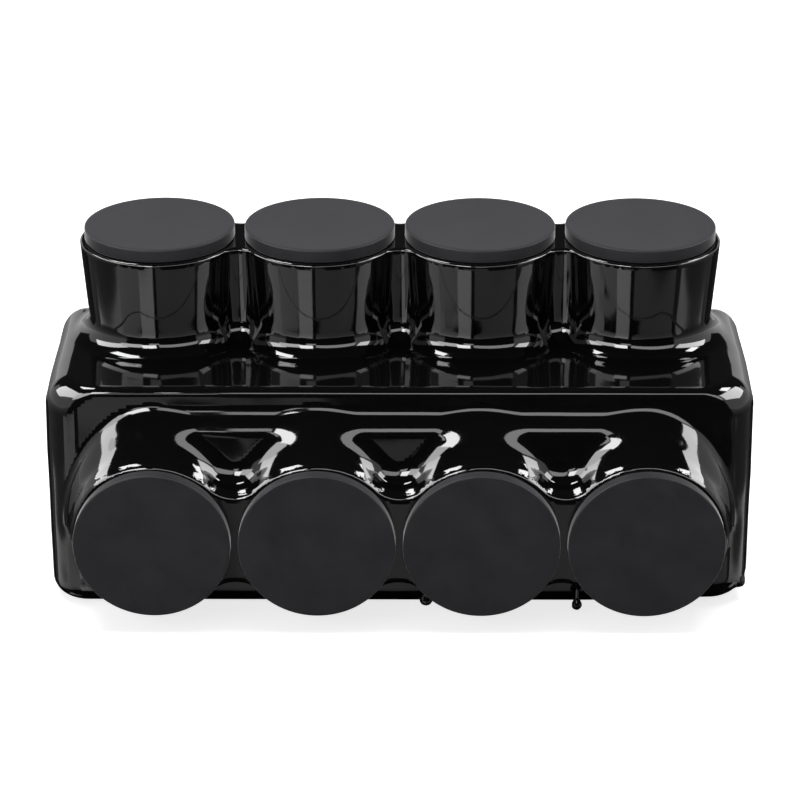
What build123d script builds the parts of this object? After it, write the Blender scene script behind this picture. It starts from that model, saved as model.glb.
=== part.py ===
from build123d import *
import os
from math import atan2, degrees, radians, sqrt, tan

# An insulated four-way tap connector for stranded power conductors.
# A drilled aluminium block joins four conductors side by side. A one-piece black vinyl jacket,
# made by dipping, covers it and grows a short tube round each conductor port and each set
# screw. Each tube is closed by a soft pull-off plug, and a set screw clamps each conductor.
#
# X runs along the row, -Y faces the conductor ports and +Z is up. All sizes are millimetres.
# The shapes are drawn with Y = 0 on the set screws' axes and Z = 0 on the base, and are then
# moved so that the origin is at the middle of the whole connector's footprint.

# The row
PORT_COUNT = 4

# The jacket's body. Its ends stand this far past the end port tubes and its back this far past
# the screw tubes' bases, and it spreads a little towards its own base at each end.
BODY_END_MARGIN = 4.5
BODY_BACK_MARGIN = 0.5
BODY_BASE_SPREAD = 0.35
BODY_HEIGHT = 43.9
BODY_FRONT_REACH = 28.0
BODY_CORNER_R = 6.5
BODY_TOP_EDGE_R = 4.5
BODY_BASE_EDGE_R = 3.5
JACKET_WALL = 3.2

# The tubes round the conductor ports, which narrow towards their mouths, where neighbours just
# merge. They stand in front of the body, clear of its base. The flare rounds the corner at a row's
# foot, and the valleys between neighbours are this much rounder than it.
PORT_TUBE_BORE_R = 11.0
PORT_TUBE_MOUTH_WALL = 3.9
PORT_TUBE_NARROWING = 0.7
PORT_TUBE_MERGE = 0.3
PORT_TUBE_LENGTH = 7.6
PORT_TUBE_LIFT = 1.95
PORT_TUBE_ROOT = 6.0
PORT_FLARE_R = 6.5
PORT_VALLEY_EXTRA = 6.0

# The tubes over the set screws, which widen until neighbours meet at their mouths
SCREW_TUBE_BORE_R = 10.6
SCREW_TUBE_WIDENING = 1.35
SCREW_TUBE_LENGTH = 18.5
SCREW_TUBE_ROOT = 8.0
SCREW_FLARE_R = 3.0
SCREW_VALLEY_FRONT_EXTRA = 0.6
SCREW_VALLEY_BACK_EXTRA = 1.4

# Rounded lips at the tubes' mouths
LIP_OUTER_R = 1.1
LIP_INNER_CHAMFER = 0.5

# The aluminium block, its blind conductor bores and its tapped holes
BLOCK_CORNER_R = 2.0
BLOCK_EDGE_CHAMFER = 0.8
CONDUCTOR_BORE_R = 9.525
CONDUCTOR_BORE_DEPTH = 27.3
CONDUCTOR_BORE_CHAMFER = 1.0
DRILL_POINT_ANGLE = 118.0
TAPPED_HOLE_CHAMFER = 1.0

# The set screws, which stand backed out at rest, with their tips just above the bores
SCREW_R = 9.525
SCREW_RUNNING_GAP = 0.055
SCREW_LENGTH = 19.05
SCREW_POINT_CHAMFER = 1.2
SCREW_TOP_CHAMFER = 0.8
SCREW_TIP_ABOVE_BORE = 0.4
SCREW_TRAVEL = 14.2875
SCREW_END_ROOM = 0.6
HEX_ACROSS_FLATS = 7.94
HEX_DEPTH = 9.5

# The pull-off plugs. Each row's flanges stop this far short of the middle between neighbours.
SCREW_PLUG_SIDE_GAP = 0.93
PORT_PLUG_SIDE_GAP = 0.67
PLUG_FLANGE_THICKNESS = 2.4
PLUG_EDGE_R = 0.5
PLUG_STEM_LENGTH = 8.5
PLUG_STEM_WALL = 1.6
PLUG_STEM_TAPER = 0.35
PLUG_STEM_GAP = 0.05
PLUG_LEAD_CHAMFER = 0.7

# Drops of vinyl that set as they ran off the port tubes' undersides. Each one's port is counted
# from the right. Its place is to the left of that port's axis and back from the tube's mouth, and
# its hang is from the tube's surface to its lowest point. Its radii are at the drop, at its neck
# and at the foot that it hangs from, and the neck's rise is above the drop's middle.
DRIPS = (
    dict(port=2, left=9.85, back=4.1, hang=4.2, drop_r=1.1, neck_r=1.0, neck_rise=2.2, foot_r=2.4),
    dict(port=1, left=11.75, back=4.6, hang=7.3, drop_r=0.9, neck_r=0.6, neck_rise=1.8, foot_r=1.8),
)

PORT_TUBE_MOUTH_R = PORT_TUBE_BORE_R + PORT_TUBE_MOUTH_WALL
PORT_TUBE_BASE_R = PORT_TUBE_MOUTH_R + PORT_TUBE_NARROWING
PORT_TUBE_MOUTH_REACH = BODY_FRONT_REACH + PORT_TUBE_LENGTH
PORT_AXIS_Z = PORT_TUBE_BASE_R + PORT_TUBE_LIFT
PITCH = 2 * PORT_TUBE_MOUTH_R - PORT_TUBE_MERGE

SCREW_TUBE_MOUTH_R = PITCH / 2
SCREW_TUBE_BASE_R = SCREW_TUBE_MOUTH_R - SCREW_TUBE_WIDENING
SCREW_TUBE_MOUTH_Z = BODY_HEIGHT + SCREW_TUBE_LENGTH

SCREW_PLUG_FLANGE_R = PITCH / 2 - SCREW_PLUG_SIDE_GAP
PORT_PLUG_FLANGE_R = PITCH / 2 - PORT_PLUG_SIDE_GAP

PORT_XS = [PITCH * (i - (PORT_COUNT - 1) / 2) for i in range(PORT_COUNT)]
GAP_XS = [(left + right) / 2 for left, right in zip(PORT_XS, PORT_XS[1:])]

BODY_TOP_WIDTH = (PORT_COUNT - 1) * PITCH + 2 * (PORT_TUBE_BASE_R + BODY_END_MARGIN)
BODY_BASE_WIDTH = BODY_TOP_WIDTH + 2 * BODY_BASE_SPREAD
BODY_BACK_REACH = SCREW_TUBE_BASE_R + BODY_BACK_MARGIN

BLOCK_WIDTH = BODY_TOP_WIDTH - 2 * JACKET_WALL
BLOCK_FRONT_REACH = BODY_FRONT_REACH - JACKET_WALL
BLOCK_BACK_REACH = BODY_BACK_REACH - JACKET_WALL
BLOCK_BASE_Z = JACKET_WALL
BLOCK_TOP_Z = BODY_HEIGHT - JACKET_WALL

SCREW_TIP_Z = PORT_AXIS_Z + CONDUCTOR_BORE_R + SCREW_TIP_ABOVE_BORE
TAPPED_HOLE_FLOOR_Z = SCREW_TIP_Z - SCREW_TRAVEL - SCREW_END_ROOM

# The port plugs reach furthest forward and the screw tubes' mouths furthest back
ROW_Y = (PORT_TUBE_MOUTH_REACH + PLUG_FLANGE_THICKNESS - SCREW_TUBE_MOUTH_R) / 2

# How far a cutting tool runs past the face it starts from
OVERRUN = 1.0

# How close a point or a radius has to be to count as the same
SAME = 0.001


def port_plane(x, reach):
    """Plane across a conductor port's axis, facing forward."""
    return Plane(origin=(x, -reach, PORT_AXIS_Z), x_dir=(1, 0, 0), z_dir=(0, -1, 0))


def row_outline(radius, low_valley_r, high_valley_r):
    """Closed outline of the row of tubes, with a rounded valley between neighbours."""
    half = PITCH / 2
    arcs = []
    touch = {}
    for side, valley_r in ((-1, low_valley_r), (1, high_valley_r)):
        valley_y = sqrt((radius + valley_r) ** 2 - half**2)
        tube_share = radius / (radius + valley_r)
        touch_x, touch_y = half * tube_share, side * valley_y * tube_share
        touch[side] = touch_x, touch_y
        for x in GAP_XS:
            bottom = (x, side * (valley_y - valley_r))
            arcs.append(ThreePointArc((x - half + touch_x, touch_y), bottom, (x + half - touch_x, touch_y)))
        for x in PORT_XS[1:-1]:
            arcs.append(ThreePointArc((x - touch_x, touch_y), (x, side * radius), (x + touch_x, touch_y)))
    (low_x, low_y), (high_x, high_y) = touch[-1], touch[1]
    for end, x in ((-1, PORT_XS[0]), (1, PORT_XS[-1])):
        low, high = (x - end * low_x, low_y), (x - end * high_x, high_y)
        arcs.append(ThreePointArc(low, (x + end * radius, 0), high))
    return make_face(arcs)


def tapered_row(face_plane, root, length, base_r, widening, low_valley_r, high_valley_r):
    """Row of tubes from a root inside the body to its mouths. Its radii are those at the body's face."""
    slope = widening / length
    sunk = slope * root
    outline = row_outline(base_r - sunk, low_valley_r + sunk, high_valley_r + sunk)
    return extrude(face_plane.offset(-root) * outline, root + length, taper=-degrees(atan2(slope, 1)))


def screw_tube_row():
    return tapered_row(
        Plane.XY.offset(BODY_HEIGHT),
        SCREW_TUBE_ROOT,
        SCREW_TUBE_LENGTH,
        SCREW_TUBE_BASE_R,
        SCREW_TUBE_WIDENING,
        SCREW_FLARE_R + SCREW_VALLEY_FRONT_EXTRA,
        SCREW_FLARE_R + SCREW_VALLEY_BACK_EXTRA,
    )


def port_tube_row():
    return tapered_row(
        port_plane(0, BODY_FRONT_REACH),
        PORT_TUBE_ROOT,
        PORT_TUBE_LENGTH,
        PORT_TUBE_BASE_R,
        -PORT_TUBE_NARROWING,
        PORT_FLARE_R + PORT_VALLEY_EXTRA,
        PORT_FLARE_R + PORT_VALLEY_EXTRA,
    )


def body():
    """The jacket's body: wider at its base, with rounded corners and edges."""
    front_view = Polyline(
        (-BODY_BASE_WIDTH / 2, 0),
        (BODY_BASE_WIDTH / 2, 0),
        (BODY_TOP_WIDTH / 2, BODY_HEIGHT),
        (-BODY_TOP_WIDTH / 2, BODY_HEIGHT),
        close=True,
    )
    back_plane = Plane(origin=(0, BODY_BACK_REACH, 0), x_dir=(1, 0, 0), z_dir=(0, -1, 0))
    solid = extrude(back_plane * make_face(front_view), BODY_FRONT_REACH + BODY_BACK_REACH)
    upright = [edge for edge in solid.edges() if abs(edge.tangent_at(0.5).Z) > abs(edge.tangent_at(0.5).X)]
    solid = fillet(upright, BODY_CORNER_R)
    solid = fillet(solid.edges().group_by(Axis.Z)[-1], BODY_TOP_EDGE_R)
    return fillet(solid.edges().group_by(Axis.Z)[0], BODY_BASE_EDGE_R)


def root_edges(solid, row, outward, face_reach):
    """Edges where a row of tubes leaves the body: on the row's walls, up to the body's face."""
    walls = [face for face in row.faces() if face.geom_type != GeomType.PLANE]
    found = []
    for edge in solid.edges():
        point = edge.position_at(0.5)
        up_to_face = point.dot(outward) < face_reach + SAME
        if up_to_face and min(wall.distance_to(point) for wall in walls) < SAME:
            found.append(edge)
    return found


def outer_lip_edges(solid, axis):
    """The outline of a row of tubes at its mouths."""
    return solid.edges().group_by(axis)[-1]


def drip(port, left, back, hang, drop_r, neck_r, neck_rise, foot_r):
    """A drop that hangs by a neck from a port tube's underside. Its foot is sunk in the tube's wall."""
    surface = PORT_AXIS_Z - sqrt(PORT_TUBE_MOUTH_R**2 - left**2)
    bottom = surface - hang
    middle = bottom + drop_r
    top = surface + foot_r
    outline = [
        CenterArc((0, middle), drop_r, -90, 90),
        Polyline((drop_r, middle), (neck_r, middle + neck_rise), (foot_r, top), (0, top), (0, bottom)),
    ]
    place = Pos(PORT_XS[-port] - left, back - PORT_TUBE_MOUTH_REACH, 0)
    return place * revolve(Plane.XZ * make_face(outline), Axis.Z)


def block_blank():
    """The block before it is drilled. The jacket is moulded round this shape."""
    depth = BLOCK_FRONT_REACH + BLOCK_BACK_REACH
    height = BLOCK_TOP_Z - BLOCK_BASE_Z
    middle = Pos(0, (BLOCK_BACK_REACH - BLOCK_FRONT_REACH) / 2, (BLOCK_TOP_Z + BLOCK_BASE_Z) / 2)
    solid = middle * Box(BLOCK_WIDTH, depth, height)
    solid = fillet(solid.edges().filter_by(Axis.Z), BLOCK_CORNER_R)
    rims = solid.edges().group_by(Axis.Z)
    return chamfer(rims[0] + rims[-1], BLOCK_EDGE_CHAMFER)


def insulation_jacket():
    """The dipped jacket: body and both rows of tubes, hollowed for the block and bored through."""
    screw_row = screw_tube_row()
    port_row = port_tube_row()
    solid = body() + screw_row
    solid = fillet(root_edges(solid, screw_row, Vector(0, 0, 1), BODY_HEIGHT), SCREW_FLARE_R)
    solid = fillet(outer_lip_edges(solid, Axis.Z), LIP_OUTER_R)
    solid = solid + port_row
    solid = fillet(root_edges(solid, port_row, Vector(0, -1, 0), BODY_FRONT_REACH), PORT_FLARE_R)
    solid = fillet(outer_lip_edges(solid, -Axis.Y), LIP_OUTER_R)
    for drop in DRIPS:
        solid = solid + drip(**drop)
    solid = solid - block_blank()
    for x in PORT_XS:
        solid = solid - screw_tube_bore(x) - port_tube_bore(x)
    return solid


def bore_tool(plane, radius, length, mouth_chamfer):
    """Cutter for a round hole: plane lies on the mouth and faces outward, and the rim is bevelled."""
    wide = radius + mouth_chamfer + OVERRUN
    outline = Polyline(
        (0, -length),
        (radius, -length),
        (radius, -mouth_chamfer),
        (wide, OVERRUN),
        (0, OVERRUN),
        close=True,
    )
    return plane * revolve(Plane.XZ * make_face(outline), Axis.Z)


def screw_tube_bore(x):
    depth = SCREW_TUBE_MOUTH_Z - BLOCK_TOP_Z + OVERRUN
    mouth = Plane(origin=(x, 0, SCREW_TUBE_MOUTH_Z))
    return bore_tool(mouth, SCREW_TUBE_BORE_R, depth, LIP_INNER_CHAMFER)


def port_tube_bore(x):
    depth = PORT_TUBE_MOUTH_REACH - BLOCK_FRONT_REACH + OVERRUN
    return bore_tool(port_plane(x, PORT_TUBE_MOUTH_REACH), PORT_TUBE_BORE_R, depth, LIP_INNER_CHAMFER)


def conductor_bore(x):
    """Cutter for a blind conductor bore with the cone that the drill leaves at its end."""
    mouth = port_plane(x, BLOCK_FRONT_REACH)
    point_length = CONDUCTOR_BORE_R / tan(radians(DRILL_POINT_ANGLE / 2))
    point_outline = Polyline(
        (0, -CONDUCTOR_BORE_DEPTH - point_length),
        (CONDUCTOR_BORE_R, -CONDUCTOR_BORE_DEPTH),
        (0, -CONDUCTOR_BORE_DEPTH),
        close=True,
    )
    point = mouth * revolve(Plane.XZ * make_face(point_outline), Axis.Z)
    return bore_tool(mouth, CONDUCTOR_BORE_R, CONDUCTOR_BORE_DEPTH, CONDUCTOR_BORE_CHAMFER) + point


def tapped_hole(x):
    depth = BLOCK_TOP_Z - TAPPED_HOLE_FLOOR_Z
    mouth = Plane(origin=(x, 0, BLOCK_TOP_Z))
    return bore_tool(mouth, SCREW_R + SCREW_RUNNING_GAP, depth, TAPPED_HOLE_CHAMFER)


def terminal_block():
    """The aluminium block with a conductor bore and a crossing tapped hole at each place."""
    solid = block_blank()
    for x in PORT_XS:
        solid = solid - conductor_bore(x) - tapped_hole(x)
    return solid


def set_screw(x):
    """A headless clamping screw with a hexagon socket. Its thread is a plain cylinder here."""
    outline = Polyline(
        (0, 0),
        (SCREW_R - SCREW_POINT_CHAMFER, 0),
        (SCREW_R, SCREW_POINT_CHAMFER),
        (SCREW_R, SCREW_LENGTH - SCREW_TOP_CHAMFER),
        (SCREW_R - SCREW_TOP_CHAMFER, SCREW_LENGTH),
        (0, SCREW_LENGTH),
        close=True,
    )
    solid = revolve(Plane.XZ * make_face(outline), Axis.Z)
    hexagon = RegularPolygon(HEX_ACROSS_FLATS / 2, 6, major_radius=False)
    solid = solid - extrude(Plane.XY.offset(SCREW_LENGTH) * hexagon, -HEX_DEPTH)
    return Pos(x, 0, SCREW_TIP_Z) * solid


def plug(seat, flange_r, tube_bore_r):
    """A soft plug: a flange that seats on the tube's mouth and a hollow stem that grips its bore."""
    stem_r = tube_bore_r - PLUG_STEM_GAP
    tip_r = stem_r - PLUG_STEM_TAPER
    outline = Polyline(
        (0, 0),
        (stem_r - PLUG_STEM_WALL, 0),
        (tip_r - PLUG_STEM_WALL, -PLUG_STEM_LENGTH),
        (tip_r - PLUG_LEAD_CHAMFER, -PLUG_STEM_LENGTH),
        (tip_r, PLUG_LEAD_CHAMFER - PLUG_STEM_LENGTH),
        (stem_r, 0),
        (flange_r, 0),
        (flange_r, PLUG_FLANGE_THICKNESS),
        (0, PLUG_FLANGE_THICKNESS),
        close=True,
    )
    solid = revolve(Plane.XZ * make_face(outline), Axis.Z)
    rims = [
        edge
        for edge in solid.edges().filter_by(GeomType.CIRCLE)
        if abs(edge.radius - flange_r) < SAME
    ]
    return seat * fillet(rims, PLUG_EDGE_R)


def all_parts():
    parts = {
        "insulation_jacket": insulation_jacket(),
        "terminal_block": terminal_block(),
    }
    for number, x in enumerate(PORT_XS, 1):
        screw_seat = Plane(origin=(x, 0, SCREW_TUBE_MOUTH_Z))
        port_seat = port_plane(x, PORT_TUBE_MOUTH_REACH)
        parts[f"set_screw_{number}"] = set_screw(x)
        parts[f"screw_plug_{number}"] = plug(screw_seat, SCREW_PLUG_FLANGE_R, SCREW_TUBE_BORE_R)
        parts[f"port_plug_{number}"] = plug(port_seat, PORT_PLUG_FLANGE_R, PORT_TUBE_BORE_R)
    return parts


os.makedirs("parts", exist_ok=True)
for name, shape in all_parts().items():
    export_step(Pos(0, ROW_Y, 0) * shape, f"parts/{name}.step")
    print(f"{name}: {shape.volume:.0f} mm3")
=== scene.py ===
import math

import bmesh
import bpy
import numpy as np
from mathutils import Matrix, Vector

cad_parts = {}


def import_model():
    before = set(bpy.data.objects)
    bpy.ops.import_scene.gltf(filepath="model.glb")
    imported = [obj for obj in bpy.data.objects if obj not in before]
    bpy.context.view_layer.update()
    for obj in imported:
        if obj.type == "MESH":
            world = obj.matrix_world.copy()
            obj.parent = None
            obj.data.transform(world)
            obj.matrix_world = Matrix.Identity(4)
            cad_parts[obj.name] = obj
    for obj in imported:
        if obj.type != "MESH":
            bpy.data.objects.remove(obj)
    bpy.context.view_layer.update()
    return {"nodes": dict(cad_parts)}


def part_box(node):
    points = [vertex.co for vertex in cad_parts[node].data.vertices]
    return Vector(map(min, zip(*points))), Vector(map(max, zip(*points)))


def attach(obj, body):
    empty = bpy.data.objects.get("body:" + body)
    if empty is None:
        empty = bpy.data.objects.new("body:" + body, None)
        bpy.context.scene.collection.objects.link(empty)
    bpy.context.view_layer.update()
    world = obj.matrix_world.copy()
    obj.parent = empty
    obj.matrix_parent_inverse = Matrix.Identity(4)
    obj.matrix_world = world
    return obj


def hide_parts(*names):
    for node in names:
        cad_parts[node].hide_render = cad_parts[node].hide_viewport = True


# The looks of an insulated four-way tap connector: the glossy dipped jacket, the soft plugs, the
# threaded set screws and the plated block. Shapes are worked out in millimetres in the frame's own
# axes and are written to the meshes in metres.

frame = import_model()

MM = 0.001

# The row, read from the frame
COUNT = sum(name.startswith("set_screw_") for name in frame["nodes"])
NUMBERS = range(1, COUNT + 1)


def box_mm(node):
    low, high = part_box(node)
    return np.array(low) / MM, np.array(high) / MM


def middle_mm(node):
    low, high = box_mm(node)
    return (low + high) / 2


PORT_XS = [middle_mm(f"port_plug_{n}")[0] for n in NUMBERS]
PITCH = PORT_XS[1] - PORT_XS[0]
HALF_PITCH = PITCH / 2
ROW_Y = middle_mm("set_screw_1")[1]
PORT_Z = middle_mm("port_plug_1")[2]
BLOCK_LOW, BLOCK_HIGH = box_mm("terminal_block")
JACKET_LOW, JACKET_HIGH = box_mm("insulation_jacket")

# The jacket's mouths, where the plugs' flanges seat
FLANGE_THICKNESS = 2.4
STEM_LENGTH = 8.5
SCREW_MOUTH_Z = box_mm("screw_plug_1")[1][2] - FLANGE_THICKNESS
PORT_MOUTH_Y = box_mm("port_plug_1")[0][1] + FLANGE_THICKNESS

# The rest of a plug's form. Pairs are a step across and a step along the stem.
PLUG_GAP = 0.05
PLUG_STEM_TAPER = 0.35
PLUG_STEM_WALL = 1.6
PLUG_HOLLOW_FILLET = (0.6, 0.5)
PLUG_HOLLOW_BEVEL = (0.25, 0.2)
PLUG_TIP_ROUND = ((0.7, 0), (0.15, 0.45), (0, 0.9))
PLUG_BEVEL = 0.25
PLUG_EDGE_R = 0.3
PLUG_EDGE_STEPS = 6
PLUG_DISH = 0.12
PLUG_DISH_SHARES = (0.93, 0.8, 0.6, 0.4, 0.2)
PLUG_SEGMENTS = 128
PLUG_SHARP_DEGREES = 32

# A set screw's thread, its ends and its hexagon socket, which ends in a drilled cone
THREAD_PITCH = 25.4 / 16
THREAD_DEPTH = 0.6 * THREAD_PITCH
THREAD_CREST_SHARE = 0.15
THREAD_FLANK_SHARE = 0.65
THREAD_STEPS_PER_TURN = 10
SCREW_POINT_R = 2.0
SCREW_POINT_BEVEL = 1.3
SCREW_LOW_BEVEL = 1.25
SCREW_HIGH_BEVEL = 0.85
HEX_HALF = 7.94 / 2
HEX_DEPTH = 9.5
HEX_BEVEL = 0.25
HEX_DRILL_R = 0.5 * HEX_HALF
HEX_DRILL_DEPTHS = (0.6, 1.4)
SCREW_SEGMENTS = 96
SCREW_SHARP_DEGREES = 40

# The block's upright edges, and how much of an edge's direction lies along Z when it counts as upright
BLOCK_EDGE_R = 2.0
BLOCK_EDGE_STEPS = 4
UPRIGHT_SHARE = 0.9

# The jacket's body. It spreads towards its base and its back, and is a little narrower at its front. Its top
# edge is sharper along the front, and its base edge is rounder at the right.
WALL = 3.2
BODY_LOW_Y = BLOCK_LOW[1] - WALL
BODY_HIGH_Y = BLOCK_HIGH[1] + WALL
BODY_TOP_Z = BLOCK_HIGH[2] + WALL
BODY_HALF_TOP = BLOCK_HIGH[0] + WALL
BODY_SPREAD = 0.35
BODY_BACK_SPREAD = 0.3
BODY_FRONT_PINCH = 0.3
CORNER_FRONT_R = 7.0
CORNER_BACK_R = 4.5
TOP_EDGE_FRONT_R = 1.4
TOP_EDGE_BACK_R = 5.5
TOP_EDGE_TURN = 1.5 * CORNER_FRONT_R
BASE_EDGE_R = 3.5
BASE_RIGHT_EDGE_R = 5.5

# The tubes over the set screws. Below their foot they are carried on into the body, ever narrower.
SCREW_BORE_R = 10.6
SCREW_MOUTH_R = HALF_PITCH
SCREW_BASE_R = SCREW_MOUTH_R - 1.35
SCREW_ROOT = 3
SCREW_ROOT_TAPER = 0.5
SCREW_FLARE_R = 4.2
SCREW_VALLEY_FRONT_R = 4.2
SCREW_VALLEY_BACK_R = 4.4

# The tubes round the conductor ports. Each spreads like a cone to its foot, most on its upper side, and is
# carried on into the body.
PORT_BORE_R = 11.0
PORT_MOUTH_R = 14.9
PORT_BASE_R = 15.6
PORT_CONE_LOW = 0.3
PORT_CONE_HIGH = 6.6
PORT_CONE_POWER = 7
PORT_CONE_START = 0.04
PORT_CONE_EASE = 0.2
PORT_CREASE_R = 0.9
PORT_VALLEY_R = 6.0
PORT_ROOT = 6.0
PORT_FIELD_SLOPE = 0.75

# The yoke that joins the port tubes' upper sides: how far it stands out, its edge and its fillet
YOKE_REACH = 2.4
YOKE_EDGE_R = 1.0
YOKE_BLEND_R = 2.4

# The tubes' lips, with a low bead behind the port tubes' mouths, and the bores, which run on a little into
# the block's place
LIP_R = 0.6
LIP_BEAD = 0.22
LIP_BEAD_PLACE = 1.7
LIP_BEAD_SPREAD = 1.3
BORE_RIM_R = 0.45
BORE_LAP = 1

# The unevenness of the dip: height, length and seed of each set of waves. They fade towards the base, and
# in part above the body.
WAVES = ((0.10, 22, 4), (0.018, 9, 8))
WAVE_LENGTH_SHARES = (0.7, 1.5)
WAVE_BASE_Z = 1
WAVE_BASE_FADE = 5
WAVE_TUBE_LOSS = 0.75
WAVE_TUBE_FADE = 6

# The skin's net: its step, how often and how far its points are evened out, how often they are settled at
# the end, and how near to the surface a point counts as on it
SURFACE_STEP = 0.7
RELAX_ROUNDS = 4
RELAX_SHARE = 0.5
LAST_ROUNDS = 2
ON_SURFACE = 0.02

# Colours of the materials: a darker and a lighter one, which a noise mixes
VINYL_COLORS = ((0.0022, 0.0022, 0.0024), (0.0036, 0.0036, 0.004))
PLUG_COLORS = ((0.017, 0.0163, 0.0195), (0.034, 0.0328, 0.038))
BLOCK_COLORS = ((0.56, 0.56, 0.57), (0.68, 0.68, 0.69))
SCREW_COLORS = ((0.5, 0.5, 0.52), (0.62, 0.62, 0.64))

# The range that most of a noise's values lie in
NOISE_LOW = 0.3
NOISE_HIGH = 0.7

# The stage, in metres, and its light levels. Both planes lie a hair under the object.
FLOOR_HALF = 6.0
FLOOR_Z = -0.00008
GLASS_HALF = 0.9
GLASS_Z = -0.00004
FLOOR_GLOW = 0.76
WORLD_LIGHT = 0.2
AIM = (0, 0, 0.03)

# Lamps for the matt surfaces: name, place, target, width, height and watts
LAMPS = (
    ("overhead", (0, 0.22, 1.1), (0, 0.17, 0.03), 1.0, 0.8, 13),
    ("left_front", (-0.75, -0.6, 0.45), AIM, 0.5, 0.7, 1.2),
)

# What the glossy vinyl mirrors, bright boxes and dark flags: name, place, target, width, height and level
CARDS = (
    ("streak_box", (-0.21, -0.5, 0.328), (0, 0, 0.328), 0.2, 0.19, 20),
    ("face_box", (-0.134, -0.505, 0.172), (0, 0, 0.172), 0.132, 0.06, 5),
    ("left_front_box", (-0.507, -0.455, 0.35), (0, 0, 0.35), 0.4, 0.22, 9),
    ("left_box", (-0.7, -0.06, 0.44), AIM, 0.72, 0.22, 12),
    ("right_box", (0.7, -0.02, 0.44), AIM, 0.72, 0.22, 12),
    ("right_front_box", (0.217, -0.49, 0.322), (0, 0, 0.322), 0.645, 0.17, 4.5),
    ("over_left_box", (-0.31, 0.09, 0.6), AIM, 0.2, 0.22, 20),
    ("over_right_box", (0.573, 0.128, 0.6), AIM, 0.2, 0.16, 20),
    ("back_flag", (0, 0.9, 0.7), (0, 0, 0.7), 2.4, 0.76, 0.03),
    ("roof_flag", (0, -0.15, 0.9), (0, -0.151, 0), 2.6, 2.2, 0.03),
    ("front_flag", (0, -0.9, 0.45), (0, 0, 0.45), 2.4, 0.9, 0.03),
)

# The photo's camera, in millimetres, fitted to the outlines of the eight plugs
CAMERA_PLACE = (1.87, ROW_Y - 463.39, 241.81)
CAMERA_TARGET = (0.01, ROW_Y, 29.06)
CAMERA_LENS = 121.05
CAMERA_SENSOR = 36


def smooth_step(value):
    """0 up to 0 and 1 from 1 on, with a smooth rise between them."""
    t = np.clip(value, 0, 1)
    return t * t * (3 - 2 * t)


def round_union(a, b, r):
    """Union of two distances with a hollow fillet of radius r between them."""
    return np.maximum(r, np.minimum(a, b)) - np.hypot(np.maximum(r - a, 0), np.maximum(r - b, 0))


def round_cut(a, b, r):
    """Intersection of two distances with its edge rounded to radius r."""
    return np.minimum(-r, np.maximum(a, b)) + np.hypot(np.maximum(r + a, 0), np.maximum(r + b, 0))


def body_distance(x, y, z):
    """The jacket's body: wider at its base, with rounded corners and edges."""
    back_share = smooth_step((y - BODY_LOW_Y) / (BODY_HIGH_Y - BODY_LOW_Y))
    high_share = np.clip(z / BODY_TOP_Z, 0, 1)
    half_width = BODY_HALF_TOP + BODY_SPREAD * (1 - high_share) + BODY_BACK_SPREAD * back_share * high_share
    half_width = half_width - BODY_FRONT_PINCH * (1 - back_share)

    # The outline seen from above
    corner_r = CORNER_FRONT_R + (CORNER_BACK_R - CORNER_FRONT_R) * back_share
    across = np.abs(x) - half_width + corner_r
    along = np.abs(y - (BODY_LOW_Y + BODY_HIGH_Y) / 2) - (BODY_HIGH_Y - BODY_LOW_Y) / 2 + corner_r
    outside = np.hypot(np.maximum(across, 0), np.maximum(along, 0))
    plan = outside + np.minimum(np.maximum(across, along), 0) - corner_r

    # The top edge is sharp along the front and rounder at the ends and the back
    end_share = smooth_step((np.abs(x) - BODY_HALF_TOP + TOP_EDGE_TURN) / CORNER_FRONT_R)
    top_r = TOP_EDGE_FRONT_R + (TOP_EDGE_BACK_R - TOP_EDGE_FRONT_R) * np.maximum(back_share, end_share)
    right_share = smooth_step((x - BODY_HALF_TOP / 2) / (BODY_HALF_TOP / 2))
    base_r = BASE_EDGE_R + (BASE_RIGHT_EDGE_R - BASE_EDGE_R) * right_share
    return round_cut(round_cut(plan, z - BODY_TOP_Z, top_r), -z, base_r)


def from_nearest_tube(x):
    """How far x lies from the axis of the nearest tube, below 0 on its left."""
    nearest = np.clip(np.round((x - PORT_XS[0]) / PITCH), 0, COUNT - 1)
    return x - PORT_XS[0] - nearest * PITCH


def row_distance(x, w, radius, low_sum, high_sum):
    """A row of merged tubes, seen along their axes. w is across the row. The sums are the tubes' radius
    plus the radius of the valley between neighbours, on the low and the high side."""
    tube = np.hypot(from_nearest_tube(x), w) - radius
    gap = np.clip(np.round((x - PORT_XS[0]) / PITCH - 0.5), 0, COUNT - 2)
    from_gap = np.abs(x - PORT_XS[0] - (gap + 0.5) * PITCH)
    total = np.where(w < 0, low_sum, high_sum)
    valley_w = np.sqrt(total**2 - HALF_PITCH**2)
    in_valley = from_gap / HALF_PITCH + np.abs(w) / valley_w < 1
    valley = (total - radius) - np.hypot(from_gap, np.abs(w) - valley_w)
    return np.where(in_valley, valley, tube)


def screw_row_distance(x, y, z):
    """The tubes over the set screws, which widen a little towards their mouths."""
    rise = np.maximum(z - BODY_TOP_Z, -SCREW_ROOT)
    sunk = np.minimum(z - BODY_TOP_Z + SCREW_ROOT, 0)
    radius = SCREW_BASE_R + (SCREW_MOUTH_R - SCREW_BASE_R) * rise / (SCREW_MOUTH_Z - BODY_TOP_Z)
    radius = radius + SCREW_ROOT_TAPER * sunk
    front_sum = SCREW_BASE_R + SCREW_VALLEY_FRONT_R
    back_sum = SCREW_BASE_R + SCREW_VALLEY_BACK_R
    return row_distance(x, y - ROW_Y, radius, front_sum, back_sum)


def port_cone(across, w):
    """How far a port tube spreads at its foot, by the direction from its axis: little below, much above."""
    up_share = (1 + w / np.maximum(np.hypot(across, w), 1)) / 2
    return PORT_CONE_LOW + (PORT_CONE_HIGH - PORT_CONE_LOW) * up_share**PORT_CONE_POWER


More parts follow.
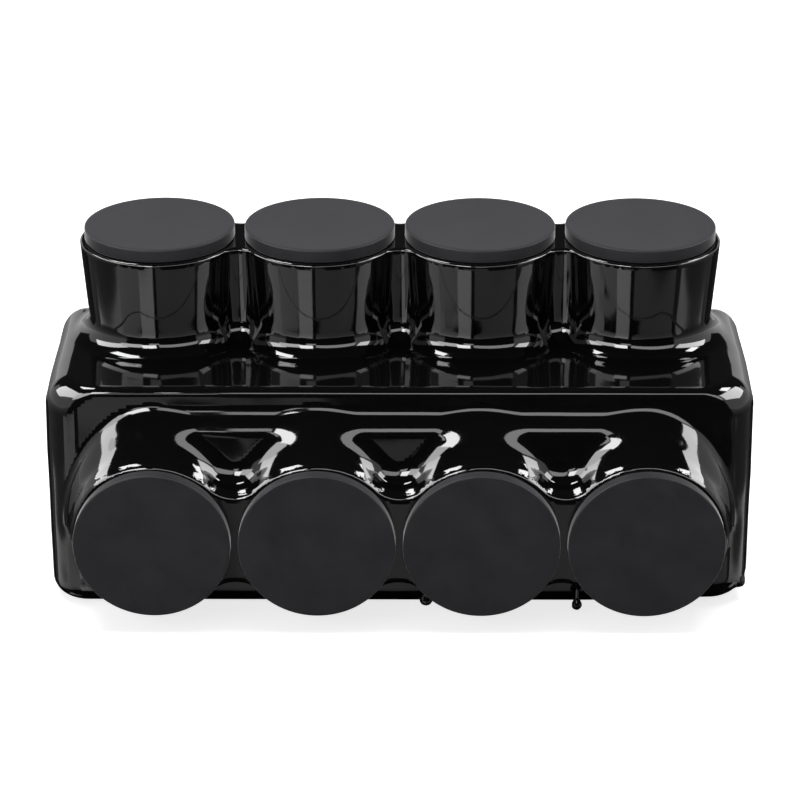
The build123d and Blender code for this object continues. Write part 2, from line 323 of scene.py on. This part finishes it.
def port_row_distance(x, y, z):
    """The port tubes, each spreading to its foot, and the yoke over them that joins their upper sides."""
    reach = np.maximum((y - PORT_MOUTH_Y) / (BODY_LOW_Y - PORT_MOUTH_Y), 0)
    bead = LIP_BEAD * np.exp(-(((y - PORT_MOUTH_Y - LIP_BEAD_PLACE) / LIP_BEAD_SPREAD) ** 2))
    tube = PORT_MOUTH_R + (PORT_BASE_R - PORT_MOUTH_R) * reach - LIP_BEAD + bead

    # How much of the cone's spread is reached, with a soft start
    share = np.clip(reach - PORT_CONE_START, 0, 1 - PORT_CONE_START)
    eased = np.where(share < PORT_CONE_EASE, share**2 / (2 * PORT_CONE_EASE), share - PORT_CONE_EASE / 2)
    spread = eased / (1 - PORT_CONE_EASE / 2 - PORT_CONE_START)

    w = z - PORT_Z
    radius = tube + port_cone(from_nearest_tube(x), w) * spread
    total = radius + PORT_VALLEY_R
    row = row_distance(x, w, radius, total, total)
    past_end = np.maximum(np.abs(x) - PORT_XS[-1], 0)
    yoke = np.hypot(past_end, np.maximum(w, 0)) - tube - port_cone(past_end, w) * spread
    yoke = round_cut(yoke, BODY_LOW_Y - YOKE_REACH - y, YOKE_EDGE_R)
    yoke = np.maximum(yoke, -w)
    row = round_union(row, yoke, YOKE_BLEND_R)

    # The cones make this distance grow too fast, so it is scaled down before the fillets that use it
    return np.maximum(row * PORT_FIELD_SLOPE, y - BODY_LOW_Y - PORT_ROOT)


def waves(x, y, z, length, seed, count=7):
    """Slow unevenness between -1 and 1: a few plane waves in seeded directions."""
    rng = np.random.default_rng(seed)
    total = 0
    for _ in range(count):
        direction = rng.normal(size=3)
        direction /= np.linalg.norm(direction)
        turns = 2 * math.pi / (length * rng.uniform(*WAVE_LENGTH_SHARES))
        phase = rng.uniform(0, 2 * math.pi)
        total = total + np.sin(turns * (direction[0] * x + direction[1] * y + direction[2] * z) + phase)
    return total / math.sqrt(count * 2)


def outer_distance(x, y, z):
    """The jacket's outer form before its mouths are cut and its bores are made."""
    screws = screw_row_distance(x, y, z)
    flare = round_union(body_distance(x, y, z), screws, SCREW_FLARE_R)
    both = round_union(flare, port_row_distance(x, y, z), PORT_CREASE_R)
    above_base = smooth_step((z - WAVE_BASE_Z) / WAVE_BASE_FADE)
    above_body = smooth_step((z - BODY_TOP_Z) / WAVE_TUBE_FADE)
    uneven = sum(height * waves(x, y, z, length, seed) for height, length, seed in WAVES)
    return both + above_base * (1 - WAVE_TUBE_LOSS * above_body) * uneven


# Drops of vinyl that set under the port tubes: place, the drop's radius, and the neck it hangs by
DROPS = (
    {"port": 3, "left": 9.85, "back": 4.1, "bottom": 2.2, "r": 1.15, "neck_r": 0.85, "top": 7.5},
    {"port": 4, "left": 11.75, "back": 4.6, "bottom": 1.1, "r": 0.95, "neck_r": 0.5, "top": 9.5},
)
DROP_NECK_BLEND_R = 0.6
DROP_FOOT_R = 1.4

# A nub of vinyl at the base of the right front corner
NUB = (63.2, -12.7, 3.3)
NUB_R = 0.9
NUB_BLEND_R = 1.0


def drop_distance(x, y, z, port, left, back, bottom, r, neck_r, top):
    """A drop on a neck that widens upwards into its foot."""
    aside = np.hypot(x - PORT_XS[port - 1] + left, y - PORT_MOUTH_Y - back)
    ball = np.hypot(aside, z - bottom - r) - r
    neck = np.maximum(aside - neck_r, np.maximum(bottom + r - z, z - top))
    return round_union(ball, neck, DROP_NECK_BLEND_R)


def jacket_distance(points):
    """The whole jacket but for the block's cavity, which is cut from the mesh."""
    x, y, z = points[:, 0], points[:, 1], points[:, 2]
    shape = outer_distance(x, y, z)
    for drop in DROPS:
        shape = round_union(shape, drop_distance(x, y, z, **drop), DROP_FOOT_R)
    nub = np.sqrt((x - NUB[0]) ** 2 + (y - NUB[1]) ** 2 + (z - NUB[2]) ** 2) - NUB_R
    shape = round_union(shape, nub, NUB_BLEND_R)
    shape = round_cut(shape, z - SCREW_MOUTH_Z, LIP_R)
    shape = round_cut(shape, PORT_MOUTH_Y - y, LIP_R)
    shape = np.maximum(shape, -z)
    for port_x in PORT_XS:
        screw_bore = np.hypot(x - port_x, y - ROW_Y) - SCREW_BORE_R
        screw_bore = np.maximum(screw_bore, BLOCK_HIGH[2] - BORE_LAP - z)
        port_bore = np.hypot(x - port_x, z - PORT_Z) - PORT_BORE_R
        port_bore = np.maximum(port_bore, y - BLOCK_LOW[1] - BORE_LAP)
        shape = round_cut(shape, -screw_bore, BORE_RIM_R)
        shape = round_cut(shape, -port_bore, BORE_RIM_R)
    return shape


def gradient(distance, points, step=0.02):
    """Unit normals of a distance field, by central differences."""
    slopes = []
    for axis in range(3):
        shift = np.zeros(3)
        shift[axis] = step
        slopes.append(distance(points + shift) - distance(points - shift))
    slopes = np.stack(slopes, 1)
    return slopes / np.maximum(np.linalg.norm(slopes, axis=1, keepdims=True), 1e-9)


def surface_net(distance, low, high, step):
    """Vertices and quads round the zero surface of a distance field, one vertex in each crossed cell."""
    axes = [np.arange(a - 2 * step, b + 2 * step, step) for a, b in zip(low, high)]
    grid = np.stack(np.meshgrid(*axes, indexing="ij"), -1)
    shape = grid.shape[:3]
    values = distance(grid.reshape(-1, 3)).reshape(shape)
    inside = values < 0
    cells = tuple(n - 1 for n in shape)
    total = np.zeros(cells + (3,))
    crossings = np.zeros(cells)
    corners = [(i, j, k) for i in (0, 1) for j in (0, 1) for k in (0, 1)]

    def corner(array, offset):
        return array[tuple(slice(o, o + n) for o, n in zip(offset, cells))]

    for start in corners:
        for axis in range(3):
            if start[axis]:
                continue
            end = tuple(o + (i == axis) for i, o in enumerate(start))
            a, b = corner(values, start), corner(values, end)
            crossed = (a < 0) != (b < 0)
            share = np.where(crossed, a / np.where(crossed, a - b, 1), 0)
            place = corner(grid, start) + share[..., None] * step * np.eye(3)[axis]
            total += np.where(crossed[..., None], place, 0)
            crossings += crossed
    active = crossings > 0
    index = np.full(cells, -1)
    index[active] = np.arange(active.sum())
    vertices = total[active] / crossings[active][:, None]
    quads = []
    for axis in range(3):
        u, v = (axis + 1) % 3, (axis + 2) % 3
        first = [slice(1, n) for n in cells]
        first[axis] = slice(0, cells[axis])
        second = list(first)
        second[axis] = slice(1, cells[axis] + 1)
        a, b = inside[tuple(first)], inside[tuple(second)]
        around = []
        for du, dv in ((0, 0), (1, 0), (1, 1), (0, 1)):
            part = [None] * 3
            part[axis] = slice(0, cells[axis])
            part[u] = slice(1 - du, cells[u] - du)
            part[v] = slice(1 - dv, cells[v] - dv)
            around.append(index[tuple(part)])
        ring = np.stack(around, -1)
        quads.append(ring[a & ~b])
        quads.append(ring[~a & b][:, ::-1])
    return vertices, np.concatenate(quads)


def settle(distance, points, rounds=3):
    """Moves points on to the zero surface."""
    for _ in range(rounds):
        points = points - distance(points)[:, None] * gradient(distance, points)
    return points


def relax(points, quads, distance, rounds):
    """Evens out the net along the surface."""
    edges = np.concatenate([quads[:, [i, (i + 1) % 4]] for i in range(4)])
    degree = np.bincount(edges.ravel(), minlength=len(points))
    for _ in range(rounds):
        total = np.zeros_like(points)
        for axis in range(3):
            total[:, axis] = np.bincount(edges[:, 0], points[edges[:, 1], axis], len(points))
            total[:, axis] += np.bincount(edges[:, 1], points[edges[:, 0], axis], len(points))
        shift = total / degree[:, None] - points
        normal = gradient(distance, points)
        shift -= (shift * normal).sum(1, keepdims=True) * normal
        points = settle(distance, points + RELAX_SHARE * shift, 1)
    return points


def new_object(name, mesh):
    piece = bpy.data.objects.new(name, mesh)
    bpy.context.scene.collection.objects.link(piece)
    return piece


def mesh_from(name, vertices_mm, faces):
    """A mesh in metres from vertices in millimetres."""
    mesh = bpy.data.meshes.new(name)
    mesh.from_pydata((np.asarray(vertices_mm) * MM).tolist(), [], [list(face) for face in faces])
    mesh.validate()
    mesh.update()
    return mesh


def cavity_cutter():
    """The block's outline, which the jacket is moulded round."""
    shape = bmesh.new()
    bmesh.ops.create_cube(shape, size=1)
    size = BLOCK_HIGH - BLOCK_LOW
    middle = (BLOCK_HIGH + BLOCK_LOW) / 2
    bmesh.ops.transform(shape, matrix=Matrix.Diagonal((*(size * MM), 1)), verts=shape.verts)
    bmesh.ops.translate(shape, vec=Vector(middle * MM), verts=shape.verts)
    upright = [e for e in shape.edges if abs((e.verts[0].co - e.verts[1].co).normalized().z) > UPRIGHT_SHARE]
    bmesh.ops.bevel(
        shape, geom=upright, offset=BLOCK_EDGE_R * MM, segments=BLOCK_EDGE_STEPS, affect="EDGES", profile=0.5
    )
    mesh = bpy.data.meshes.new("cavity_cutter")
    shape.to_mesh(mesh)
    shape.free()
    return new_object("cavity_cutter", mesh)


def cut_out(piece, cutter):
    """Takes the cutter's form out of the piece and deletes the cutter."""
    cut = piece.modifiers.new("cavity", "BOOLEAN")
    cut.operation = "DIFFERENCE"
    cut.solver = "EXACT"
    cut.object = cutter
    bpy.context.view_layer.update()
    evaluated = piece.evaluated_get(bpy.context.evaluated_depsgraph_get())
    done = bpy.data.meshes.new_from_object(evaluated)
    piece.modifiers.clear()
    old = piece.data
    piece.data = done
    done.name = piece.name
    bpy.data.meshes.remove(old)
    bpy.data.objects.remove(cutter)


def field_normals(mesh, distance):
    """Gives the faces on the distance field its own smooth normals. The others stay flat."""
    points = np.array([v.co for v in mesh.vertices], float) / MM
    on_surface = np.abs(distance(points)) < ON_SURFACE
    smooth = gradient(distance, points)
    loops = np.zeros((len(mesh.loops), 3))
    for face in mesh.polygons:
        ids = list(face.vertices)
        own = list(face.loop_indices)
        if on_surface[ids].all():
            loops[own] = smooth[ids]
        else:
            loops[own] = face.normal
    mesh.polygons.foreach_set("use_smooth", np.ones(len(mesh.polygons), bool))
    mesh.normals_split_custom_set(loops.tolist())


def ring_faces(ring_count, segments):
    """Faces that join rings of vertices and close both ends on two more vertices, the start and the end."""
    faces = []
    for ring in range(ring_count - 1):
        for i in range(segments):
            j = (i + 1) % segments
            a, b = ring * segments, (ring + 1) * segments
            faces.append((a + i, a + j, b + j, b + i))
    start = ring_count * segments
    end = start + 1
    last = (ring_count - 1) * segments
    for i in range(segments):
        j = (i + 1) % segments
        faces.append((start, j, i))
        faces.append((end, last + i, last + j))
    return faces


def lathe(outline, segments):
    """A closed turned form about Z. The outline runs from the axis out and back to the axis."""
    rings = outline[1:-1]
    turn = np.arange(segments) * 2 * math.pi / segments
    circle = np.stack([np.cos(turn), np.sin(turn)], 1)
    vertices = [(*(circle[i] * r), z) for r, z in rings for i in range(segments)]
    vertices += [(0, 0, outline[0][1]), (0, 0, outline[-1][1])]
    return vertices, ring_faces(len(rings), segments)


def arc(centre, radius, start, end, steps):
    """Points on an arc, in degrees."""
    for i in range(steps + 1):
        angle = math.radians(start + (end - start) * i / steps)
        yield centre[0] + radius * math.cos(angle), centre[1] + radius * math.sin(angle)


def shade(piece, angle_degrees):
    """Smooth shading with edges kept where faces meet at more than the angle."""
    mesh = piece.data
    shape = bmesh.new()
    shape.from_mesh(mesh)
    bmesh.ops.recalc_face_normals(shape, faces=shape.faces)
    for edge in shape.edges:
        edge.smooth = len(edge.link_faces) < 2 or edge.calc_face_angle(0) < math.radians(angle_degrees)
    for face in shape.faces:
        face.smooth = True
    shape.to_mesh(mesh)
    shape.free()


# The materials


def new_material(name):
    """A new material with its nodes, its links and its shader."""
    material = bpy.data.materials.new(name)
    material.use_nodes = True
    nodes = material.node_tree.nodes
    return material, nodes, material.node_tree.links, nodes["Principled BSDF"]


def noise_node(nodes, links, coordinates, scale, detail, roughness=0.5):
    node = nodes.new("ShaderNodeTexNoise")
    node.inputs["Scale"].default_value = scale
    node.inputs["Detail"].default_value = detail
    node.inputs["Roughness"].default_value = roughness
    links.new(coordinates, node.inputs["Vector"])
    return node


def value_range(nodes, links, source, to_low, to_high):
    """Spreads a noise over a range of values."""
    node = nodes.new("ShaderNodeMapRange")
    node.inputs["From Min"].default_value = NOISE_LOW
    node.inputs["From Max"].default_value = NOISE_HIGH
    node.inputs["To Min"].default_value = to_low
    node.inputs["To Max"].default_value = to_high
    links.new(source, node.inputs["Value"])
    return node.outputs["Result"]


def color_mix(nodes, links, factor, colors, shader):
    """Gives a shader a base colour that a noise mixes from two colours."""
    node = nodes.new("ShaderNodeValToRGB")
    for element, color in zip(node.color_ramp.elements, colors):
        element.color = (*color, 1)
    links.new(factor, node.inputs["Fac"])
    links.new(node.outputs["Color"], shader.inputs["Base Color"])


def bump_node(nodes, links, height, distance_mm, strength, normal=None):
    node = nodes.new("ShaderNodeBump")
    node.inputs["Distance"].default_value = distance_mm * MM
    node.inputs["Strength"].default_value = strength
    links.new(height, node.inputs["Height"])
    if normal is not None:
        links.new(normal, node.inputs["Normal"])
    return node.outputs["Normal"]


def vinyl_material():
    """Glossy black vinyl, a little uneven from the dipping."""
    material, nodes, links, shader = new_material("dipped_vinyl")
    place = nodes.new("ShaderNodeTexCoord").outputs["Object"]
    slow = noise_node(nodes, links, place, scale=90, detail=2)
    fine = noise_node(nodes, links, place, scale=900, detail=2)
    specks = noise_node(nodes, links, place, scale=4200, detail=1)
    color_mix(nodes, links, slow.outputs["Fac"], VINYL_COLORS, shader)
    gloss = value_range(nodes, links, fine.outputs["Fac"], to_low=0.035, to_high=0.075)
    links.new(gloss, shader.inputs["Roughness"])
    shader.inputs["IOR"].default_value = 1.5
    soft = bump_node(nodes, links, slow.outputs["Fac"], distance_mm=0.12, strength=0.2)
    rough = bump_node(nodes, links, specks.outputs["Fac"], distance_mm=0.004, strength=0.3, normal=soft)
    links.new(rough, shader.inputs["Normal"])
    return material


def plug_material():
    """Matte dark grey soft plastic with a faint bloom."""
    material, nodes, links, shader = new_material("soft_plug")
    place = nodes.new("ShaderNodeTexCoord").outputs["Object"]
    cloud = noise_node(nodes, links, place, scale=160, detail=4, roughness=0.6)
    grain = noise_node(nodes, links, place, scale=2600, detail=3, roughness=0.6)
    color_mix(nodes, links, cloud.outputs["Fac"], PLUG_COLORS, shader)
    matt = value_range(nodes, links, cloud.outputs["Fac"], to_low=0.46, to_high=0.58)
    links.new(matt, shader.inputs["Roughness"])
    shader.inputs["IOR"].default_value = 1.48
    shader.inputs["Specular IOR Level"].default_value = 0.18
    shader.inputs["Sheen Weight"].default_value = 1.0
    shader.inputs["Sheen Roughness"].default_value = 0.3
    rough = bump_node(nodes, links, grain.outputs["Fac"], distance_mm=0.02, strength=0.35)
    links.new(rough, shader.inputs["Normal"])
    return material


def metal_material(name, colors, roughness_low, roughness_high, stretch):
    """Satin metal with fine tool marks that run round or along the piece."""
    material, nodes, links, shader = new_material(name)
    place = nodes.new("ShaderNodeTexCoord").outputs["Object"]
    mapping = nodes.new("ShaderNodeMapping")
    mapping.inputs["Scale"].default_value = stretch
    links.new(place, mapping.inputs["Vector"])
    marks = noise_node(nodes, links, mapping.outputs["Vector"], scale=900, detail=4, roughness=0.6)
    cloud = noise_node(nodes, links, place, scale=220, detail=3)
    color_mix(nodes, links, cloud.outputs["Fac"], colors, shader)
    links.new(value_range(nodes, links, marks.outputs["Fac"], roughness_low, roughness_high),
              shader.inputs["Roughness"])
    shader.inputs["Metallic"].default_value = 1
    rough = bump_node(nodes, links, marks.outputs["Fac"], distance_mm=0.02, strength=0.4)
    links.new(rough, shader.inputs["Normal"])
    return material


VINYL = vinyl_material()
PLUG = plug_material()
BLOCK = metal_material("tin_plated_block", BLOCK_COLORS, 0.26, 0.42, stretch=(1, 6, 6))
SCREW = metal_material("plated_screw", SCREW_COLORS, 0.22, 0.36, stretch=(6, 6, 1))


def dress(piece, material, body, node):
    """Gives a piece its material, the solid that it replaces and the body that it moves with."""
    piece.data.materials.clear()
    piece.data.materials.append(material)
    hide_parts(node)
    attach(piece, body)


def jacket_skin():
    points, quads = surface_net(jacket_distance, JACKET_LOW, JACKET_HIGH, SURFACE_STEP)
    points = relax(settle(jacket_distance, points), quads, jacket_distance, RELAX_ROUNDS)
    points = settle(jacket_distance, points, LAST_ROUNDS)
    points = np.clip(points, JACKET_LOW, JACKET_HIGH)
    piece = new_object("jacket_skin", mesh_from("jacket_skin", points, quads))
    cut_out(piece, cavity_cutter())
    field_normals(piece.data, jacket_distance)
    dress(piece, VINYL, "connector", "insulation_jacket")


def plug_outline(flange_r, bore_r):
    """Half section of a plug, from its hollow stem round to its face. Z points out of the tube."""
    stem_r = bore_r - PLUG_GAP
    tip_r = stem_r - PLUG_STEM_TAPER
    inner_r = stem_r - PLUG_STEM_WALL
    tip_inner_r = tip_r - PLUG_STEM_WALL
    tip_z = -STEM_LENGTH

    # The stem's hollow, with a fillet at its bottom and a bevel at its mouth, and the rounded tip
    outline = [(0, 0), (inner_r - PLUG_HOLLOW_FILLET[0], 0), (inner_r, -PLUG_HOLLOW_FILLET[1])]
    outline += [(tip_inner_r, tip_z + PLUG_HOLLOW_BEVEL[1]), (tip_inner_r + PLUG_HOLLOW_BEVEL[0], tip_z)]
    outline += [(tip_r - across, tip_z + along) for across, along in PLUG_TIP_ROUND]

    # The flange, with a small bevel under it and a rounded edge, and its slightly dished face
    outline += [(stem_r, 0), (flange_r - PLUG_BEVEL, 0), (flange_r, PLUG_BEVEL)]
    edge_centre = (flange_r - PLUG_EDGE_R, FLANGE_THICKNESS - PLUG_EDGE_R)
    outline += list(arc(edge_centre, PLUG_EDGE_R, 0, 90, PLUG_EDGE_STEPS))
    for share in PLUG_DISH_SHARES:
        outline.append((flange_r * share, FLANGE_THICKNESS - PLUG_DISH * (1 - share**2)))
    outline.append((0, FLANGE_THICKNESS - PLUG_DISH))
    return outline


def plug(name, centre, turn, body, bore_r):
    """A plug with its flange on a tube's mouth. The solid of its body's name gives the flange's size."""
    low, high = box_mm(body)
    vertices, faces = lathe(plug_outline((high[0] - low[0]) / 2, bore_r), PLUG_SEGMENTS)
    place = Matrix.Translation(Vector(centre)) @ turn.to_4x4()
    points = [place @ Vector(v) for v in vertices]
    piece = new_object(name, mesh_from(name, [tuple(p) for p in points], faces))
    shade(piece, PLUG_SHARP_DEGREES)
    dress(piece, PLUG, body, body)


def set_screw(name, body, axis):
    """A threaded set screw with a hexagon socket, as long and as thick as its solid."""
    low, high = box_mm(body)
    length = high[2] - low[2]
    radius = (high[0] - low[0]) / 2
    turn = np.arange(SCREW_SEGMENTS) * 2 * math.pi / SCREW_SEGMENTS
    round_ring = np.ones(SCREW_SEGMENTS)
    sixth = math.pi / 3
    hexagon = HEX_HALF / np.cos((turn + sixth / 2) % sixth - sixth / 2)

    def thread(z):
        """How deep the thread is cut round the screw at a height. Its flanks are straight."""
        phase = (z / THREAD_PITCH - turn / (2 * math.pi)) % 1
        flank = np.abs(phase - 0.5) * 2
        return THREAD_DEPTH * np.clip((flank - THREAD_CREST_SHARE) / THREAD_FLANK_SHARE, 0, 1)

    # Each ring's radius and height: the flat tip, the thread with a bevel at both ends, and the socket
    rings = [(SCREW_POINT_R * round_ring, 0), ((radius - SCREW_POINT_BEVEL) * round_ring, 0)]
    count = int(length / THREAD_PITCH * THREAD_STEPS_PER_TURN)
    for i in range(count + 1):
        z = length * i / count
        limit = min(radius - SCREW_LOW_BEVEL + z, radius - SCREW_HIGH_BEVEL + (length - z))
        rings.append((np.minimum(radius - thread(z), limit), z))
    socket_z = length - HEX_DEPTH
    rings += [(hexagon + HEX_BEVEL, length), (hexagon, length - HEX_BEVEL), (hexagon, socket_z)]
    rings.append((HEX_DRILL_R * round_ring, socket_z - HEX_DRILL_DEPTHS[0]))
    vertices = []
    for r, z in rings:
        vertices += list(zip(r * np.cos(turn), r * np.sin(turn), z * round_ring))
    vertices += [(0, 0, 0), (0, 0, socket_z - HEX_DRILL_DEPTHS[1])]
    points = np.array(vertices) + np.array((*axis, low[2]))
    piece = new_object(name, mesh_from(name, points, ring_faces(len(rings), SCREW_SEGMENTS)))
    shade(piece, SCREW_SHARP_DEGREES)
    dress(piece, SCREW, body, body)


def make_plugs_and_screws():
    upright = Matrix.Identity(3)
    forward = Matrix.Rotation(math.radians(90), 3, "X")
    for n, x in zip(NUMBERS, PORT_XS):
        place = (x, ROW_Y, SCREW_MOUTH_Z)
        plug(f"screw_cap_{n}", place, upright, f"screw_plug_{n}", SCREW_BORE_R)
        place = (x, PORT_MOUTH_Y, PORT_Z)
        plug(f"port_cap_{n}", place, forward, f"port_plug_{n}", PORT_BORE_R)
        set_screw(f"threaded_screw_{n}", f"set_screw_{n}", (x, ROW_Y))


def finish_block():
    """The block's own solid stays and takes the plated material in its slots."""
    block = frame["nodes"]["terminal_block"]
    for material_slot in block.material_slots:
        material_slot.material = BLOCK


# The stage


def light_mask(nodes, links):
    """1 for rays from the camera, from a gloss or through glass, and 0 for light on a matt surface."""
    path = nodes.new("ShaderNodeLightPath")
    seen = path.outputs["Is Camera Ray"]
    for kind in ("Is Glossy Ray", "Is Transmission Ray"):
        either = nodes.new("ShaderNodeMath")
        either.operation = "MAXIMUM"
        links.new(seen, either.inputs[0])
        links.new(path.outputs[kind], either.inputs[1])
        seen = either.outputs[0]
    return seen


def level_plane(name, half_size, z):
    mesh = bpy.data.meshes.new(name)
    corners = [(x * half_size, y * half_size, z) for x, y in ((-1, -1), (1, -1), (1, 1), (-1, 1))]
    mesh.from_pydata(corners, [], [(0, 1, 2, 3)])
    plane = new_object(name, mesh)
    return plane


def floor():
    """A plain white floor. The camera and reflections see it white, with the object's shadow."""
    plane = level_plane("floor", FLOOR_HALF, FLOOR_Z)
    material, nodes, links, shader = new_material("floor_white")
    shader.inputs["Base Color"].default_value = (0.8, 0.8, 0.8, 1)
    shader.inputs["Roughness"].default_value = 0.9
    shader.inputs["Emission Color"].default_value = (1, 1, 1, 1)
    strength = nodes.new("ShaderNodeMath")
    strength.operation = "MULTIPLY"
    strength.inputs[1].default_value = FLOOR_GLOW
    links.new(light_mask(nodes, links), strength.inputs[0])
    links.new(strength.outputs[0], shader.inputs["Emission Strength"])
    plane.data.materials.append(material)


def table_glass():
    """A sheet of dark glass under the object, which only its reflections see."""
    sheet = level_plane("table_glass", GLASS_HALF, GLASS_Z)
    material, nodes, links, shader = new_material("table_glass")
    shader.inputs["Base Color"].default_value = (0.02, 0.02, 0.02, 1)
    shader.inputs["Roughness"].default_value = 0.08
    sheet.data.materials.append(material)
    only_in_reflections(sheet)


def only_in_reflections(piece):
    piece.visible_camera = False
    piece.visible_diffuse = False
    piece.visible_transmission = False
    piece.visible_shadow = False


def world():
    """White where the camera and the gloss look past everything, and a low light on matt surfaces."""
    backdrop = bpy.data.worlds.new("backdrop")
    backdrop.use_nodes = True
    nodes, links = backdrop.node_tree.nodes, backdrop.node_tree.links
    shown = nodes["Background"]
    shown.inputs["Color"].default_value = (1, 1, 1, 1)
    shown.inputs["Strength"].default_value = 1
    dim = nodes.new("ShaderNodeBackground")
    dim.inputs["Color"].default_value = (1, 1, 1, 1)
    dim.inputs["Strength"].default_value = WORLD_LIGHT
    mix = nodes.new("ShaderNodeMixShader")
    links.new(light_mask(nodes, links), mix.inputs["Fac"])
    links.new(dim.outputs[0], mix.inputs[1])
    links.new(shown.outputs[0], mix.inputs[2])
    links.new(mix.outputs[0], nodes["World Output"].inputs["Surface"])
    bpy.context.scene.world = backdrop


def soft_box(name, place, target, width, height, power):
    """An area lamp for the matt surfaces. The cards are what the gloss reflects."""
    data = bpy.data.lights.new(name, "AREA")
    data.shape = "RECTANGLE"
    data.size = width
    data.size_y = height
    data.energy = power
    lamp = bpy.data.objects.new(name, data)
    bpy.context.scene.collection.objects.link(lamp)
    lamp.location = place
    lamp.rotation_mode = "QUATERNION"
    lamp.rotation_quaternion = (Vector(place) - Vector(target)).to_track_quat("Z", "Y")
    lamp.visible_glossy = False


def card(name, centre, target, width, height, level):
    """A studio card that faces a target and shows in reflections alone."""
    centre, target = Vector(centre), Vector(target)
    facing = (target - centre).normalized()
    side = Vector((0, 0, 1)).cross(facing).normalized() * width / 2
    rise = facing.cross(side).normalized() * height / 2
    mesh = bpy.data.meshes.new(name)
    corners = [centre - side - rise, centre + side - rise, centre + side + rise, centre - side + rise]
    mesh.from_pydata([tuple(corner) for corner in corners], [], [(0, 1, 2, 3)])
    piece = new_object(name, mesh)
    material, nodes, links, shader = new_material(name)
    nodes.remove(shader)
    glow = nodes.new("ShaderNodeEmission")
    glow.inputs["Strength"].default_value = level
    links.new(glow.outputs[0], nodes["Material Output"].inputs["Surface"])
    mesh.materials.append(material)
    only_in_reflections(piece)


def camera():
    data = bpy.data.cameras.new("camera")
    data.lens = CAMERA_LENS
    data.sensor_width = CAMERA_SENSOR
    data.clip_start = 0.01
    data.clip_end = 50
    viewer = bpy.data.objects.new("camera", data)
    bpy.context.scene.collection.objects.link(viewer)
    target = Vector(CAMERA_TARGET) * MM
    place = Vector(CAMERA_PLACE) * MM
    viewer.location = place
    viewer.rotation_mode = "QUATERNION"
    viewer.rotation_quaternion = (place - target).to_track_quat("Z", "Y")
    bpy.context.scene.camera = viewer


jacket_skin()
make_plugs_and_screws()
finish_block()
floor()
table_glass()
world()
for values in LAMPS:
    soft_box(*values)
for values in CARDS:
    card(*values)
camera()
bpy.context.scene.view_settings.view_transform = "Standard"
